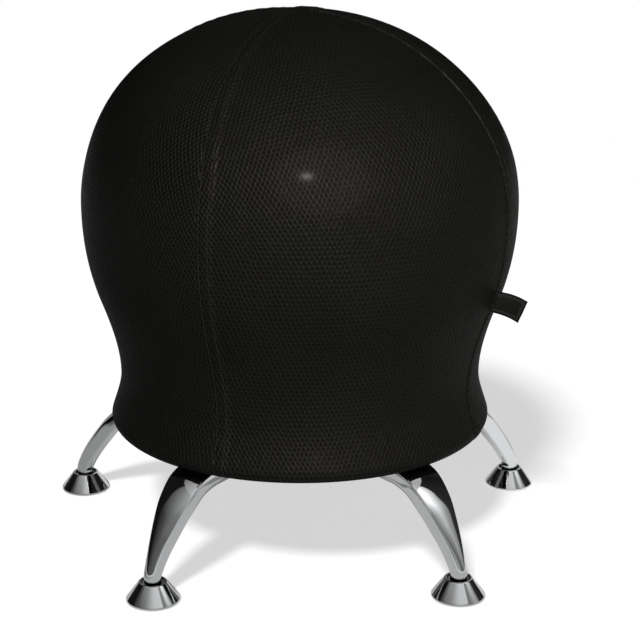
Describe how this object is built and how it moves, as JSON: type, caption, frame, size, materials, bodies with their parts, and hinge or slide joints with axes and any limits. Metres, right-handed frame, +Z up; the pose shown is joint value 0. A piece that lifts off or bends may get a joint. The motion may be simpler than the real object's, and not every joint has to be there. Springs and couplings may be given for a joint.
{
  "type": "balance ball chair",
  "caption": "Backless ball seat: an inflated ball under a fitted mesh cover, held on a steel pan with arched chrome tube legs and swivelling bell feet.",
  "frame": {"origin": "on the floor, under the middle of the chair's outline box", "axes": "+Z up, +Y towards the leg at the back, +X to the right seen from the front"},
  "size_m": [0.5708, 0.5456, 0.584],
  "materials": {
    "air_mesh": "black spacer mesh, matt, with a raised diamond knit",
    "tape": "woven binding tape, matt",
    "elastic": "braided elastic cord",
    "woven_tab": "close satin weave, bare",
    "ball_vinyl": "soft vinyl, fine grain",
    "plug_vinyl": "soft vinyl, smooth",
    "edge_plastic": "moulded, fine grain",
    "coated_steel": "black powder coat, fine orange peel",
    "chrome": "polished chrome plate",
    "zinc_steel": "bright zinc plate",
    "nylon": "moulded nylon",
    "sole_rubber": "moulded rubber, matt"
  },
  "bodies": {
    "chair": {"seat_cover": "air_mesh", "hem_binding": "tape", "hem_elastic": "elastic", "side_tab": "woven_tab", "air_ball": "ball_vinyl", "rim_ring": "edge_plastic", "seat_pan": "coated_steel", "leg_back": "chrome", "leg_screw_back_inner": "zinc_steel", "leg_screw_back_outer": "zinc_steel", "leg_nut_back_inner": "zinc_steel", "leg_nut_back_outer": "zinc_steel", "leg_insert_back": "nylon", "foot_stem_back": "zinc_steel", "leg_left": "chrome", "leg_screw_left_inner": "zinc_steel", "leg_screw_left_outer": "zinc_steel", "leg_nut_left_inner": "zinc_steel", "leg_nut_left_outer": "zinc_steel", "leg_insert_left": "nylon", "foot_stem_left": "zinc_steel", "leg_front_left": "chrome", "leg_screw_front_left_inner": "zinc_steel", "leg_screw_front_left_outer": "zinc_steel", "leg_nut_front_left_inner": "zinc_steel", "leg_nut_front_left_outer": "zinc_steel", "leg_insert_front_left": "nylon", "foot_stem_front_left": "zinc_steel", "leg_front_right": "chrome", "leg_screw_front_right_inner": "zinc_steel", "leg_screw_front_right_outer": "zinc_steel", "leg_nut_front_right_inner": "zinc_steel", "leg_nut_front_right_outer": "zinc_steel", "leg_insert_front_right": "nylon", "foot_stem_front_right": "zinc_steel", "leg_right": "chrome", "leg_screw_right_inner": "zinc_steel", "leg_screw_right_outer": "zinc_steel", "leg_nut_right_inner": "zinc_steel", "leg_nut_right_outer": "zinc_steel", "leg_insert_right": "nylon", "foot_stem_right": "zinc_steel"},
    "foot_back": {"foot_bell_back": "chrome", "foot_sole_back": "sole_rubber"},
    "foot_left": {"foot_bell_left": "chrome", "foot_sole_left": "sole_rubber"},
    "foot_front_left": {"foot_bell_front_left": "chrome", "foot_sole_front_left": "sole_rubber"},
    "foot_front_right": {"foot_bell_front_right": "chrome", "foot_sole_front_right": "sole_rubber"},
    "foot_right": {"foot_bell_right": "chrome", "foot_sole_right": "sole_rubber"},
    "air_plug": {"air_plug": "plug_vinyl"}
  },
  "joints": [
    {"name": "foot_back_swivel", "type": "hinge", "parent": "chair", "child": "foot_back", "pos_m": [0, 0.24458, 0.012], "axis": [0, 0, 1], "continuous": true},
    {"name": "foot_left_swivel", "type": "hinge", "parent": "chair", "child": "foot_left", "pos_m": [-0.25717, 0.05774, 0.012], "axis": [0, 0, 1], "continuous": true},
    {"name": "foot_front_left_swivel", "type": "hinge", "parent": "chair", "child": "foot_front_left", "pos_m": [-0.15894, -0.24458, 0.012], "axis": [0, 0, 1], "continuous": true},
    {"name": "foot_front_right_swivel", "type": "hinge", "parent": "chair", "child": "foot_front_right", "pos_m": [0.15894, -0.24458, 0.012], "axis": [0, 0, 1], "continuous": true},
    {"name": "foot_right_swivel", "type": "hinge", "parent": "chair", "child": "foot_right", "pos_m": [0.25717, 0.05774, 0.012], "axis": [0, 0, 1], "continuous": true},
    {"name": "air_plug_pull", "type": "slide", "parent": "chair", "child": "air_plug", "axis": [0, 0, -1], "range_m": [0, 0.016]}
  ]
}
